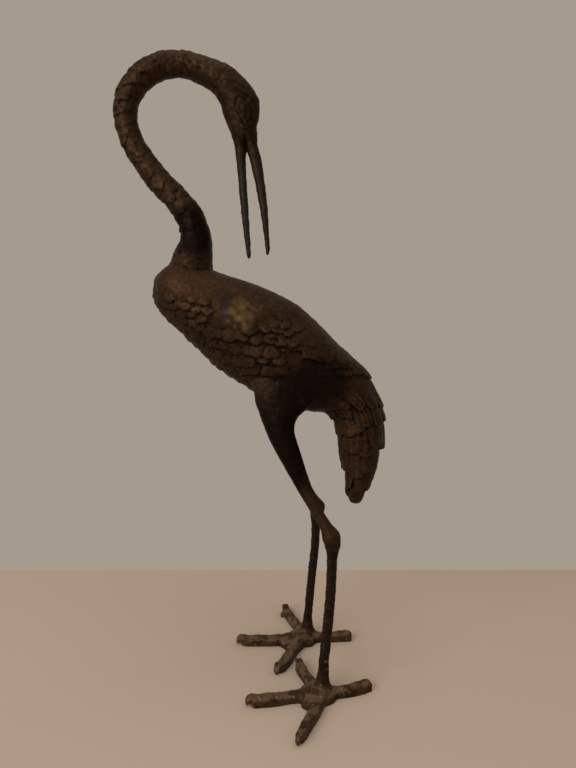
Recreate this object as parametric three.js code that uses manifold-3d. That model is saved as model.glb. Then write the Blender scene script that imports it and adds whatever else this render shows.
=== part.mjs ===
// Cast heron sculpture: a preening wader, cast in one piece, standing on its own feet.
// Millimetres, +Z up. The bird faces -X, its left side is towards -Y, and its soles are at Z = 0.
import * as THREE from 'three';
import { mergeVertices } from 'three/addons/utils/BufferGeometryUtils.js';
import Module from 'manifold-3d';

const wasm = await Module();
wasm.setup();

// Driving sizes
const FOOTPRINT_MIDDLE = [-42.64, 2.52];    // middle of the whole bird's box, from between the feet
const BODY_COLUMNS = 36;         // points round each form
const NECK_COLUMNS = 14;
const LIMB_COLUMNS = 8;
// Feathers: one row to the next, how far a free end stands off, how far its tip reaches past the notch
// beside it, and how uneven a row is
const BREAST = { pitch: 17, lip: 2.2, scallop: 7, jitter: 1.2 };
const RUFF = { pitch: 10.5, lip: 1.6, scallop: 4, jitter: 0.8 };
const NAPE = 88;                 // where the neck's feathers start, along the head and neck
const SHOULDER = 52;             // where they end, before the end of the neck's form
const HEAD_PITCH = 9.5;          // one ring of points round the head to the next
const TAIL_START = 262;          // along the body's middle line
const TAIL_TIERS = [288, 313, 336, 358, 378];   // where each tier of plumes ends
const PLUME_LIP = 4.5;
const PLUME_NOTCH = 9;           // depth of the gap between two plumes' blunt ends
const WING_STEP = 4;             // the folded wing's lower edge, off the flank
const WING_TOP = 14;             // its upper edge, degrees from the ridge of the back
const WING_FRONT = 75;           // how far it takes to swell out of the shoulder
const EYE = [-52.5, 12.4, 687];  // the left and right eyeballs' place, off the middle plane
const EYE_RADIUS = 5;
const EYE_RIM = { place: [-51.5, 13.8, 685], size: [7.5, 9, 14], thick: 0.22, tip: -8 };
const BROW = { place: [-57, 11.5, 709], size: [18, 6, 3.6], tip: 38 };
const TOE_HEIGHT = 11;
const WEB = { height: 8, width: 10 };
const PALM = [22, 19, 14.5];     // half sizes of the swelling under the ankle
const PALM_SHIFT = -7;

// Body and tail, breast to tail tip: [back x, z, underside x, z, half width]
const BODY = [
  [-134, 513, -134, 513, 0],
  [-117, 511, -149.5, 504, 22],
  [-101, 506, -160, 489, 33],
  [-85, 500.5, -160.5, 468, 40],
  [-69, 495, -149, 448.5, 44],
  [-44, 487, -128, 427.5, 47],
  [-14.5, 475, -104.8, 405, 50],
  [12.5, 460, -81.5, 383.3, 50],
  [37.5, 438, -55, 366.3, 49],
  [59.5, 415.5, -27, 350, 47],
  [80.5, 396.5, 0, 337, 43],
  [98, 376.3, 26, 331, 39],
  [108.5, 353, 45, 330, 36],
  [115.5, 332, 55, 321, 34],
  [118, 310, 60, 303, 32],
  [115.5, 289, 64, 283, 29],
  [111, 268, 69, 262, 25],
  [104, 249, 73, 243, 21],
  [97, 231, 75, 226, 16],
  [92, 218, 78, 217, 10],
  [87, 214, 85, 214, 0],
];

// Head, beak root to nape: [throat x, z, crown x, z, half width]
const HEAD = [
  [-50, 641, -50, 641, 0],
  [-63, 647, -35.5, 649, 8.5],
  [-65.5, 656, -36, 658, 11],
  [-69, 665, -37, 669, 13.5],
  [-73, 675, -34, 684, 15],
  [-77, 685, -34, 700, 16],
  [-79, 694, -42, 715, 16.5],
  [-83, 702, -54, 728, 16.5],
  [-89, 710, -70, 740, 16.3],
];
// Neck, nape to shoulder: [x, z, radius] of its middle line
const NECK = [
  [-99, 734, 15.6],
  [-122, 741, 14.6],
  [-147, 740, 15],
  [-171, 728, 15],
  [-188, 706, 15],
  [-192, 680, 14.2],
  [-185, 655, 13.6],
  [-171, 631, 13.6],
  [-154, 609, 14.2],
  [-135, 589, 15],
  [-118, 567, 16.3],
  [-111, 542, 18.5],
  [-115, 515, 24],
  [-119, 490, 26],
  [-116, 470, 0],
];

// Each mandible, root to tip: [inner x, z, outer x, z, half width]
const UPPER_MANDIBLE = [
  [-48, 660, -44, 660, 0],
  [-50, 648, -36, 650, 7.5],
  [-44.5, 628, -31, 630, 6.2],
  [-38, 600, -27.5, 601, 5],
  [-33.5, 575, -24.8, 575, 4.2],
  [-29.5, 550, -23.5, 550, 3.2],
  [-27, 532, -22.3, 532, 2.2],
  [-25, 521, -25, 521, 0],
];
const LOWER_MANDIBLE = [
  [-54, 660, -58, 660, 0],
  [-50, 646, -63.5, 648, 7.5],
  [-50, 622, -60.8, 624, 6.2],
  [-49, 594, -58, 595, 5],
  [-47.5, 569, -55.5, 569, 4.2],
  [-46, 543, -52.5, 543, 3.2],
  [-45.3, 527, -50.3, 527, 2.2],
  [-47, 516, -47, 516, 0],
];

// Legs, hip to ankle: [x, y, z, half depth, half width]
const LEFT_LEG = [
  [-20, -22, 404, 0, 0],
  [-16, -24, 386, 30, 15],
  [-11, -27, 372, 32, 17],
  [-10, -31, 358, 30, 17.5],
  [-6, -35, 344, 32, 17],
  [-10.5, -39, 328, 21.5, 15.5],
  [-7, -42, 307, 15.5, 14],
  [5, -46, 279, 12.2, 11.5],
  [17, -50, 252, 9, 9],
  [30, -54, 227, 6.9, 7.5],
  [43, -57, 205, 6.9, 7.2],
  [49.5, -58, 193, 10.6, 8.8],
  [52, -58.3, 182, 9.2, 8],
  [51.5, -58.7, 167, 6.2, 6],
  [50.5, -60, 138, 5.8, 5.6],
  [48.3, -61, 105, 5.8, 5.6],
  [45.3, -62.5, 73, 5.9, 5.7],
  [42.5, -64, 45, 6.3, 6],
  [41, -64.7, 22, 8, 7.5],
  [40, -65, 8, 12, 11],
  [40, -65, 1.5, 0, 0],
];
const RIGHT_LEG = [
  [-22, 22, 404, 0, 0],
  [-18, 24, 386, 30, 15],
  [-13, 27, 372, 32, 17],
  [-12, 31, 358, 30, 17.5],
  [-8, 35, 344, 32, 17],
  [-13, 39, 328, 21.5, 15.5],
  [-10, 43, 307, 15.5, 14],
  [0, 48, 279, 12.2, 11.5],
  [10, 52, 252, 9, 9],
  [21, 55, 227, 6.9, 7.5],
  [33, 57.5, 205, 7.2, 7.2],
  [39.5, 58.5, 193, 10.6, 8.8],
  [39, 59, 181, 8.8, 7.8],
  [38, 59.5, 165, 6, 5.8],
  [37, 60.5, 138, 5.6, 5.4],
  [34, 61.5, 107, 5.6, 5.4],
  [31.3, 63, 78, 5.6, 5.4],
  [28.6, 65, 45, 6, 5.8],
  [27.2, 67, 22, 8, 7.5],
  [27, 68, 8, 12, 11],
  [27, 68, 1.5, 0, 0],
];

// Feet: the ankle, each toe from root to tip as [x, y, half width], and the middle of each web's edge
const LEFT_FOOT = {
  ankle: [40, -65],
  toes: [
    [[8, -71.5, 7.8], [-15, -77, 7.5], [-38, -80.5, 7], [-50, -82, 6]],
    [[31, -97, 7.2], [22.5, -118, 6], [16, -135, 5.2], [9.5, -152, 4]],
    [[27, -42, 6.8], [20.8, -27, 6.3], [14.8, -10, 5.7], [11.4, 3.5, 4.6]],
    [[60, -63, 7.2], [76, -59, 7.2], [90, -53, 7], [100, -49.5, 6]],
  ],
  webs: [[17.5, -89], [51, -79], [13, -54]],
};
const RIGHT_FOOT = {
  ankle: [27, 68],
  toes: [
    [[-12, 57, 8.6], [-34, 55, 7.8], [-56, 55, 7.6], [-72, 55, 6.4]],
    [[13, 98, 7], [4.5, 120, 6.2], [-2.5, 140, 5.6], [-7, 157, 4.5]],
    [[7, 32, 8], [0, 10, 7], [-8, -8, 6.5], [-15.5, -22, 5.4]],
    [[47, 63.5, 7], [64, 65.5, 7.2], [78, 67, 7.4], [89, 66.5, 6.4]],
  ],
  webs: [[-9, 42], [25, 43], [2, 76]],
};

// The upper edge of the feathered breast and side: [along the body, degrees from the ridge of the back]
const FEATHER_EDGE = [
  [0, 180], [28, 140], [43, 108], [50, 94], [66, 88], [77, 98], [86, 109], [103, 113], [111, 103], [117, 82],
  [128, 74], [140, 58], [153, 49], [163, 53], [168, 72], [178, 88], [200, 112], [212, 180], [420, 180],
];
// The folded wing's lower edge, in the same way
const WING_EDGE = [[112, 80], [161, 81], [188, 74], [213, 67], [226, 62], [238, 45], [254, 26]];

// A row between the given rows, on the smooth curve through all of them
function between(rows, time) {
  const place = Math.min(Math.max(time, 0), 1) * (rows.length - 1);
  const first = Math.min(Math.floor(place), rows.length - 2);
  const f = place - first;
  const row = (k) => rows[Math.min(Math.max(k, 0), rows.length - 1)];
  const [a, b, c, d] = [row(first - 1), row(first), row(first + 1), row(first + 2)];
  return b.map((_, n) => {
    const slope = (c[n] - a[n]) * f;
    const bend = (2 * a[n] - 5 * b[n] + 4 * c[n] - d[n]) * f ** 2;
    const twist = (3 * b[n] - a[n] - 3 * c[n] + d[n]) * f ** 3;
    return b[n] + (slope + bend + twist) / 2;
  });
}

// Sections [top x, z, bottom x, z, half width, y], square to a middle line of [x, y, z, half depth and width]
function squareSections(line) {
  return line.map(([x, y, z, depth, width], k) => {
    const before = line[Math.max(k - 1, 0)];
    const after = line[Math.min(k + 1, line.length - 1)];
    const run = new THREE.Vector2(after[0] - before[0], after[2] - before[2]).normalize();
    return [x - run.y * depth, z + run.x * depth, x + run.y * depth, z - run.x * depth, width, y];
  });
}

// A loft keeps its sections and knows how long its middle line is
function makeLoft(sections) {
  const STEPS = 300;
  const middle = (time) => {
    const [topX, topZ, lowX, lowZ] = between(sections, time);
    return new THREE.Vector2((topX + lowX) / 2, (topZ + lowZ) / 2);
  };
  const marks = [0];
  for (let k = 1; k <= STEPS; k++) {
    marks.push(marks[k - 1] + middle(k / STEPS).distanceTo(middle((k - 1) / STEPS)));
  }
  const timeAt = (length) => {
    const k = Math.max(marks.findIndex((mark) => mark >= length), 1);
    return length >= marks[STEPS] ? 1 : (k - 1 + (length - marks[k - 1]) / (marks[k] - marks[k - 1])) / STEPS;
  };
  const perSection = STEPS / (sections.length - 1);
  const sectionPlaces = sections.slice(1, -1).map((_, k) => marks[Math.round((k + 1) * perSection)]);
  return { sections, length: marks[STEPS], timeAt, sectionPlaces };
}

function middlePoint(loft, length) {
  const [topX, topZ, lowX, lowZ, , y = 0] = between(loft.sections, loft.timeAt(length));
  return new THREE.Vector3((topX + lowX) / 2, y, (topZ + lowZ) / 2);
}

// The point at an angle round a section, lifted off the surface. Angle 0 is the top, 90 degrees is +Y.
// boxy is 1 for an ellipse, and smaller for a squarer section.
function surfacePoint(loft, length, angle, lift = 0, boxy = 1) {
  const [topX, topZ, lowX, lowZ, width] = between(loft.sections, loft.timeAt(length));
  const up = new THREE.Vector3(topX - lowX, 0, topZ - lowZ).multiplyScalar(0.5);
  const bulge = (value) => Math.sign(value) * Math.abs(value) ** boxy;
  const side = new THREE.Vector3(0, Math.abs(width), 0);
  const outward = up.clone().multiplyScalar(Math.cos(angle) * side.length());
  outward.addScaledVector(side, Math.sin(angle) * up.length()).normalize();
  return middlePoint(loft, length).addScaledVector(up, bulge(Math.cos(angle)))
    .addScaledVector(side, bulge(Math.sin(angle))).addScaledVector(outward, lift);
}

// A closed skin with one ring of points at each given place along the loft, and a pole at each end.
// relief(ring, column, angle) gives how far that point moves along the loft, and how far outwards.
function skin(loft, rings, columns, { relief = () => [0, 0], boxy = 1 } = {}) {
  const geometry = new THREE.SphereGeometry(1, columns, rings.length + 1);
  const position = geometry.attributes.position;
  for (let i = 0; i < position.count; i++) {
    const row = Math.floor(i / (columns + 1));
    const column = (i % (columns + 1)) % columns;
    const angle = (column / columns) * 2 * Math.PI;
    let point = middlePoint(loft, row === 0 ? 0 : loft.length);
    if (row > 0 && row <= rings.length) {
      const [shift, lift] = relief(rings[row - 1], column, angle);
      point = surfacePoint(loft, rings[row - 1].at + shift, angle, lift, boxy);
    }
    position.setXYZ(i, point.x, point.y, point.z);
  }
  return geometry;
}

// A plain ring at each of the loft's own sections
function plainRings(loft) {
  return loft.sectionPlaces.map((at) => ({ at }));
}

// A row of overlapping feathers takes two rings: the raised free ends, and the foot just past them.
function featherRings(start, end, pitch) {
  const FREE_END = 0.8;
  const FOOT = 0.94;
  const rows = Math.round((end - start) / pitch);
  return Array.from({ length: rows * 2 }, (_, k) => {
    const row = Math.floor(k / 2);
    const foot = k % 2;
    const at = start + (row + (foot ? FOOT : FREE_END)) * (end - start) / rows;
    return { at, row, lift: 1 - foot, feathers: true };
  });
}

// A closed solid from a geometry whose shared points are merged, with its faces turned outwards
function solid(geometry) {
  geometry.deleteAttribute('normal');
  geometry.deleteAttribute('uv');
  const merged = mergeVertices(geometry, 1e-4);
  const make = (triangles) => new wasm.Manifold(new wasm.Mesh({
    numProp: 3,
    vertProperties: new Float32Array(merged.attributes.position.array),
    triVerts: new Uint32Array(triangles),
  }));
  const corners = Array.from(merged.index.array);
  const made = make(corners);
  return made.volume() > 0 ? made : make(corners.reverse());
}

const degrees = THREE.MathUtils.degToRad;
const fade = (value, low, high) => THREE.MathUtils.smoothstep(value, low, high);
// An uneven number from -1 to 1 that is always the same for the same place
const uneven = (a, b) => Math.sin(a * 12.9898 + b * 78.233 + 1.3);

// The second value of a list of pairs, at any first value
function readOff(pairs, value) {
  const k = Math.max(pairs.findIndex(([first]) => first >= value), 1);
  const [[a, low], [b, high]] = [pairs[k - 1], pairs[k]];
  return low + (high - low) * (value - a) / (b - a);
}

const bodyLoft = makeLoft(BODY);

// How strongly feathers show at a place on the body: full on breast and lower side, none on back and flank
function featherStrength(length, angle) {
  const SOFT = 7;
  const down = THREE.MathUtils.radToDeg(angle > Math.PI ? 2 * Math.PI - angle : angle);
  const edge = readOff(FEATHER_EDGE, length);
  return fade(down, edge - SOFT, edge + SOFT);
}

function bodyRelief(ring, column, angle) {
  if (ring.tier !== undefined) {
    // Plumes are four columns wide: a groove, two flat halves, and a quill between them.
    const phase = (column + 2 * ring.tier) % 4;
    const plume = Math.floor((column + 2 * ring.tier) / 4);
    const groove = phase === 0;
    const RAGGED = 6;
    const shift = ring.end * (groove ? -PLUME_NOTCH : RAGGED * uneven(plume, ring.tier));
    return [shift, groove ? -1 : PLUME_LIP * ring.lift];
  }
  if (!ring.feathers) return [0, 0];
  return scalloped(ring, column, BREAST).map((value) => value * featherStrength(ring.at, angle));
}

// In a row of feathers, every second point of the ring is a tip and the one between is a notch.
function scalloped(ring, column, { scallop, lip, jitter }) {
  const tip = (column + ring.row) % 2 === 0;
  const NOTCH_LIFT = 0.65;
  const shift = scallop / 2 * (tip ? 1 : -1) + jitter * uneven(column, ring.row);
  return [shift, lip * ring.lift * (tip ? 1 : NOTCH_LIFT)];
}

function bodyWithTail() {
  const CAP = 4;                 // from each end of the body to its first ring
  const ROOT = 0.35;             // how much of a plume's length hides under the tier above it
  const FOOT = 2;                // from its free end to the foot of its step
  const rings = [{ at: CAP }, ...featherRings(CAP + 2, TAIL_START, BREAST.pitch)];
  TAIL_TIERS.forEach((end, tier) => {
    const start = tier === 0 ? TAIL_START : TAIL_TIERS[tier - 1] + FOOT;
    rings.push({ at: start + (end - start) * ROOT, tier, lift: 0.6, end: 0 });
    rings.push({ at: end, tier, lift: 1, end: 1 });
    rings.push({ at: end + FOOT, tier, lift: 0, end: 1 });
  });
  rings.push({ at: bodyLoft.length - CAP });
  return solid(skin(bodyLoft, rings, BODY_COLUMNS, { relief: bodyRelief }));
}

function headWithNeck() {
  const neck = squareSections(NECK.map(([x, z, radius]) => [x, 0, z, radius, radius]));
  const loft = makeLoft([...HEAD.map((section) => [...section, 0]), ...neck]);
  const shoulder = loft.length - SHOULDER;
  const headRings = Math.floor(NAPE / HEAD_PITCH);
  const head = Array.from({ length: headRings }, (_, k) => ({ at: (k + 0.5) * HEAD_PITCH }));
  const root = { at: (shoulder + loft.length) / 2 };
  const rings = [...head, ...featherRings(NAPE, shoulder, RUFF.pitch), root];
  const relief = (ring, column) => (ring.feathers ? scalloped(ring, column, RUFF) : [0, 0]);
  return solid(skin(loft, rings, NECK_COLUMNS, { relief }));
}

function mandible(sections) {
  const loft = makeLoft(sections);
  return solid(skin(loft, plainRings(loft), LIMB_COLUMNS));
}

// Sphere stretched to the given half sizes, tipped in the side view and set at a place
function pebble([x, y, z], [long, wide, high], tip = 0) {
  const geometry = new THREE.SphereGeometry(1, LIMB_COLUMNS, 6);
  geometry.rotateX(Math.PI / 2);
  geometry.scale(long, wide, high);
  geometry.rotateY(tip);
  geometry.translate(x, y, z);
  return solid(geometry);
}

// Eye in its almond rim, and the brow over it, on one side of the head
function eyeParts(side) {
  const onSide = ([x, y, z]) => [x, side * y, z];
  const rim = new THREE.TorusGeometry(1, EYE_RIM.thick, 5, 12);
  rim.rotateX(Math.PI / 2);
  rim.scale(...EYE_RIM.size);
  rim.rotateY(degrees(EYE_RIM.tip));
  rim.translate(...onSide(EYE_RIM.place));
  return [
    solid(rim),
    pebble(onSide(EYE), [EYE_RADIUS, EYE_RADIUS, EYE_RADIUS]),
    pebble(onSide(BROW.place), BROW.size, degrees(BROW.tip)),
  ];
}

// Folded wing: it swells out of the body's side from the shoulder back, with a step along its lower edge
function wing(side) {
  const ROOT = -5;               // its inner face, buried in the body
  const SUNK = -1.2;             // its outer face at the shoulder, just under the skin
  const [front, rear] = [WING_EDGE[0][0], WING_EDGE.at(-1)[0]];
  const geometry = new THREE.BoxGeometry(1, 1, 1, 12, 3, 1);
  const position = geometry.attributes.position;
  for (let i = 0; i < position.count; i++) {
    const length = front + (rear - front) * (position.getX(i) + 0.5);
    const down = position.getY(i) + 0.5;
    const swell = fade(length, front, front + WING_FRONT) * fade(down, 0.1, 0.9);
    const lift = position.getZ(i) > 0 ? SUNK + (WING_STEP - SUNK) * swell : ROOT;
    const angle = degrees(THREE.MathUtils.lerp(WING_TOP, readOff(WING_EDGE, length), down));
    const point = surfacePoint(bodyLoft, length, side * angle, lift);
    position.setXYZ(i, point.x, point.y, point.z);
  }
  return solid(geometry);
}

function leg(line) {
  const loft = makeLoft(squareSections(line));
  return solid(skin(loft, plainRings(loft), LIMB_COLUMNS));
}

// A flat-soled form from the ankle to the last of its rows, square in section.
// Rows are [x, y, half width] on the ground, and finish(reach, last) gives the sections at its free end.
function flatSoled(ankle, rows, height, finish) {
  const [ROOT, ROOT_RISE] = [4, 3];    // it starts this far out and this much higher, inside the ankle
  const UNDER = -2;                    // its sides go on this far below the ground, where they are cut flat
  const SQUARE = 0.45;
  const tip = rows.at(-1);
  const run = new THREE.Vector2(tip[0] - ankle[0], tip[1] - ankle[1]);
  const local = rows.map(([x, y, width]) => {
    const offset = new THREE.Vector2(x - ankle[0], y - ankle[1]);
    const along = offset.dot(run) / run.length();
    return [along, height, along, UNDER, width, run.cross(offset) / run.length()];
  });
  const start = [[0, height, 0, 1, 0, 0], [ROOT, height + ROOT_RISE, ROOT, UNDER, rows[0][2], 0]];
  const loft = makeLoft([...start, ...local.slice(0, -1), ...finish(run.length(), local.at(-1))]);
  const geometry = skin(loft, plainRings(loft), LIMB_COLUMNS, { boxy: SQUARE });
  const position = geometry.attributes.position;
  for (let i = 0; i < position.count; i++) position.setZ(i, Math.max(position.getZ(i), 0));
  return solid(geometry.rotateZ(run.angle()).translate(...ankle, 0));
}

// A toe ends bluntly, and its claw bends down to the ground with a notch behind it.
function clawEnd(reach, [, top, , under, width]) {
  return [
    [reach - 9, top + 0.5, reach - 9, under, width, 0],
    [reach - 4.5, top - 0.5, reach - 5.5, 2.8, width * 0.85, 0],
    [reach - 0.8, top - 5, reach - 1.6, 0.4, width * 0.6, 0],
    [reach, 2, reach, 2, 0, 0],
  ];
}

function webEnd(reach, [, top, , under, width]) {
  return [[reach - 4, top - 1, reach - 4, under, width, 0], [reach, top / 2, reach, top / 2, 0, 0]];
}

function foot({ ankle, toes, webs }) {
  const palm = new THREE.SphereGeometry(1, 14, 8);
  palm.rotateX(Math.PI / 2);
  palm.scale(...PALM);
  const position = palm.attributes.position;
  for (let i = 0; i < position.count; i++) position.setZ(i, Math.max(position.getZ(i), 0));
  palm.translate(ankle[0] + PALM_SHIFT, ankle[1], 0);
  return [
    solid(palm),
    ...toes.map((rows) => flatSoled(ankle, rows, TOE_HEIGHT, clawEnd)),
    ...webs.map(([x, y]) => flatSoled(ankle, [[x, y, WEB.width]], WEB.height, webEnd)),
  ];
}

function heronMesh() {
  const pieces = [
    bodyWithTail(), headWithNeck(),
    mandible(UPPER_MANDIBLE), mandible(LOWER_MANDIBLE),
    ...eyeParts(-1), ...eyeParts(1),
    wing(-1), wing(1),
    leg(LEFT_LEG), leg(RIGHT_LEG),
    ...foot(LEFT_FOOT), ...foot(RIGHT_FOOT),
  ];
  const { vertProperties, triVerts } = pieces.reduce((whole, piece) => whole.add(piece)).getMesh();
  const geometry = new THREE.BufferGeometry();
  geometry.setAttribute('position', new THREE.BufferAttribute(vertProperties, 3));
  geometry.setIndex(new THREE.BufferAttribute(triVerts, 1));
  geometry.translate(-FOOTPRINT_MIDDLE[0], -FOOTPRINT_MIDDLE[1], 0);
  geometry.computeVertexNormals();
  const bronze = new THREE.MeshStandardMaterial({ color: 0x3a2a20, roughness: 0.55, metalness: 0.7 });
  const mesh = new THREE.Mesh(geometry, bronze);
  mesh.name = 'heron';
  return mesh;
}

const heron = new THREE.Group();
heron.add(heronMesh());
export default heron;
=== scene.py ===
"""Cast heron sculpture: the fine casting that stands for the solid, its patina with painted shade, and a
plain setting.
"""
import math
import random

import bmesh
import bpy
import numpy as np
from mathutils import Euler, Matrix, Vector, noise


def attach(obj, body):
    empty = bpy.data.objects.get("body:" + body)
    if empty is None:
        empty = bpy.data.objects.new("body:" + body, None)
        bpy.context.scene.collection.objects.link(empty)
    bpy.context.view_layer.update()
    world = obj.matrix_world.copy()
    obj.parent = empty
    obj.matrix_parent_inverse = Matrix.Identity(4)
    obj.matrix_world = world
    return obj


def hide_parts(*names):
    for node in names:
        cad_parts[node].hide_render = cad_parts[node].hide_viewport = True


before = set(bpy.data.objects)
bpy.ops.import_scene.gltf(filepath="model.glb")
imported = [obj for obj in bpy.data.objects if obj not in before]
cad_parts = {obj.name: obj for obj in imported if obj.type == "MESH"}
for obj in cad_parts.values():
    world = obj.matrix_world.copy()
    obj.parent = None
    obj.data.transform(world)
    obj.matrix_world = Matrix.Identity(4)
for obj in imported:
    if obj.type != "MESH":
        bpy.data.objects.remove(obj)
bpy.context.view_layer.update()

MM = 0.001

# Sizes are in millimetres, laid out from the middle between the feet: the bird faces -X, its left side is -Y.
BOX_MIDDLE = np.array([-42.64, 2.52, 0.0])     # middle of the whole bird's box, which is the frame's origin
GRAIN = 0.9                                    # size of the smallest form that the casting keeps
MOST_TRIANGLES = 194000
REMESH_LOSS = 0.45                             # what the bill's thin halves lose when their skin is made anew
SOLE = 0.6                                     # what lies lower than this belongs to a flat sole
SEED = 7                                       # starts the random draws
# Points in the net of each skin, around it and along it
BODY_NET, NECK_NET, BILL_NET, LEG_NET, TOE_NET = (400, 680), (150, 820), (32, 120), (48, 420), (48, 120)

# Body and tail, breast to tail tip: [back x, z, underside x, z, half width]
BODY = [
    [-134, 513, -134, 513, 0],
    [-117, 511, -149.5, 504, 22],
    [-101, 506, -160, 489, 33],
    [-85, 500.5, -160.5, 468, 40],
    [-69, 495, -149, 448.5, 44],
    [-44, 487, -128, 427.5, 47],
    [-14.5, 475, -104.8, 405, 50],
    [12.5, 460, -81.5, 383.3, 50],
    [37.5, 438, -55, 366.3, 49],
    [59.5, 415.5, -27, 350, 47],
    [80.5, 396.5, 0, 337, 43],
    [98, 376.3, 26, 331, 39],
    [108.5, 353, 45, 330, 36],
    [115.5, 332, 55, 321, 34],
    [118, 310, 60, 303, 32],
    [115.5, 289, 64, 283, 29],
    [111, 268, 69, 262, 25],
    [104, 249, 73, 243, 21],
    [97, 231, 75, 226, 16],
    [92, 218, 78, 217, 10],
    [87, 214, 85, 214, 0],
]
# Head, beak root to nape: [throat x, z, crown x, z, half width]
HEAD = [
    [-50, 646, -50, 646, 0],
    [-61.5, 651, -37.5, 653, 7.2],
    [-65.5, 656, -36, 658, 11],
    [-69, 665, -37, 669, 13.5],
    [-73, 675, -34, 684, 15],
    [-77, 685, -34, 700, 16],
    [-79, 694, -42, 715, 16.5],
    [-83, 702, -54, 728, 16.5],
    [-89, 710, -70, 740, 16.3],
]
# Neck, nape to shoulder: [x, z, radius] of its middle line
NECK = [
    [-99, 734, 15.5],
    [-122, 741, 14.5],
    [-147, 740, 14.9],
    [-171, 728, 14.9],
    [-188, 706, 14.2],
    [-192, 680, 13.4],
    [-185, 655, 12.8],
    [-171, 631, 13.4],
    [-154, 609, 14],
    [-135, 589, 14.8],
    [-118, 567, 16.1],
    [-111, 542, 18.3],
    [-115, 515, 24],
    [-119, 490, 26],
    [-116, 470, 0],
]
# Each mandible, root to tip: [inner x, z, outer x, z, half width]
UPPER_MANDIBLE = [
    [-48, 672, -44, 672, 0],
    [-50.5, 659, -36.5, 660, 8.2],
    [-50, 648, -36, 650, 7.5],
    [-44.5, 628, -31, 630, 6.2],
    [-38, 600, -27.5, 601, 5],
    [-33.5, 575, -24.8, 575, 4.2],
    [-29.5, 550, -23.5, 550, 3.2],
    [-27, 531, -22.3, 531, 2.4],
    [-26.4, 523, -23.2, 523, 1.9],
    [-24.8, 520, -24.8, 520, 0],
]
LOWER_MANDIBLE = [
    [-54, 672, -58, 672, 0],
    [-50.5, 658, -65, 658, 8.2],
    [-50, 646, -63.5, 648, 7.5],
    [-50, 622, -60.8, 624, 6.2],
    [-49, 594, -58, 595, 5],
    [-47.5, 569, -55.5, 569, 4.2],
    [-46, 543, -52.5, 543, 3.2],
    [-45.3, 526, -50.3, 526, 2.4],
    [-45.6, 519, -48.8, 519, 1.9],
    [-47.2, 516, -47.2, 516, 0],
]
# Legs, hip to ankle: [x, y, z, half depth, half width]
LEFT_LEG = [
    [-20, -22, 404, 0, 0],
    [-16, -24, 386, 30, 15],
    [-11, -27, 372, 32, 17],
    [-10, -31, 358, 30, 17.5],
    [-6, -35, 344, 32, 17],
    [-10.5, -39, 328, 21.5, 15.5],
    [-7, -42, 307, 15.5, 14],
    [5, -46, 279, 12.2, 11.5],
    [17, -50, 252, 9, 9],
    [30, -54, 227, 6.9, 7.5],
    [43, -57, 205, 6.9, 7.2],
    [49.5, -58, 193, 10.6, 8.8],
    [52, -58.3, 182, 9.2, 8],
    [51.5, -58.7, 167, 6.2, 6],
    [50.5, -60, 138, 5.8, 5.6],
    [48.3, -61, 105, 5.8, 5.6],
    [45.3, -62.5, 73, 5.9, 5.7],
    [42.5, -64, 45, 6.3, 6],
    [41, -64.7, 22, 8, 7.5],
    [40, -65, 8, 12, 11],
    [40, -65, 1.5, 0, 0],
]
RIGHT_LEG = [
    [-22, 22, 404, 0, 0],
    [-18, 24, 386, 30, 15],
    [-13, 27, 372, 32, 17],
    [-12, 31, 358, 30, 17.5],
    [-8, 35, 344, 32, 17],
    [-13, 39, 328, 21.5, 15.5],
    [-10, 43, 307, 15.5, 14],
    [0, 48, 279, 12.2, 11.5],
    [10, 52, 252, 9, 9],
    [21, 55, 227, 6.9, 7.5],
    [33, 57.5, 205, 7.2, 7.2],
    [39.5, 58.5, 193, 10.6, 8.8],
    [39, 59, 181, 8.8, 7.8],
    [38, 59.5, 165, 6, 5.8],
    [37, 60.5, 138, 5.6, 5.4],
    [34, 61.5, 107, 5.6, 5.4],
    [31.3, 63, 78, 5.6, 5.4],
    [28.6, 65, 45, 6, 5.8],
    [27.2, 67, 22, 8, 7.5],
    [27, 68, 8, 12, 11],
    [27, 68, 1.5, 0, 0],
]
# Feet: the ankle, each toe from root to tip as [x, y, half width], the middle of each web's edge, and lumps
LEFT_FOOT = {
    "ankle": [40, -65],
    "toes": [
        [[8, -71.5, 7.8], [-15, -77, 7.5], [-38, -80.5, 7], [-50, -82, 6]],
        [[31, -97, 7.2], [22.5, -118, 6], [16, -135, 5.2], [9.5, -152, 4]],
        [[27, -42, 6.8], [20.8, -27, 6.3], [14.8, -10, 5.7], [11.4, 3.5, 4.6]],
        [[60, -63, 7.2], [76, -59, 7.2], [90, -53, 7], [100, -49.5, 6]],
    ],
    "webs": [[18, -90], [52, -81], [14, -55]],
    "nubs": [],
}
RIGHT_FOOT = {
    "ankle": [27, 68],
    "toes": [
        [[-12, 57, 8.6], [-34, 55, 7.8], [-56, 55, 7.6], [-72, 55, 6.4]],
        [[13, 98, 7], [4.5, 120, 6.2], [-2.5, 140, 5.6], [-7, 157, 4.5]],
        [[7, 32, 8], [0, 10, 7], [-8, -8, 6.5], [-15.5, -22, 5.4]],
        [[47, 63.5, 7], [64, 65.5, 7.2], [78, 67, 7.4], [89, 66.5, 6.4]],
    ],
    "webs": [[-7, 42], [27, 44], [4, 75]],
    "nubs": [[-7.5, 134.5]],
}
TOE_HEIGHT = 10.6
TOE_PADS = (0.42, 0.66, 0.86)      # where a toe or web swells, from 0 at the ankle to 1 at its end
BLUNT_TOE = 3                      # the hind toe, which ends blunt where the others have a claw
WEB = {"height": 7.5, "half width": 8.5}
PALM = np.array([24, 21, 12])      # half sizes of the swelling under the ankle
PALM_SHIFT = -7                    # from the ankle to the middle of that swelling, along X
NUB = {"height": 3, "sizes": (3.8, 4.2, 4)}
# Plates on the shin: where they start along the leg, how long one is, and how far its end stands off
SHIN = {"start": 225, "plate": 5.4, "lip": 0.9}

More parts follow.
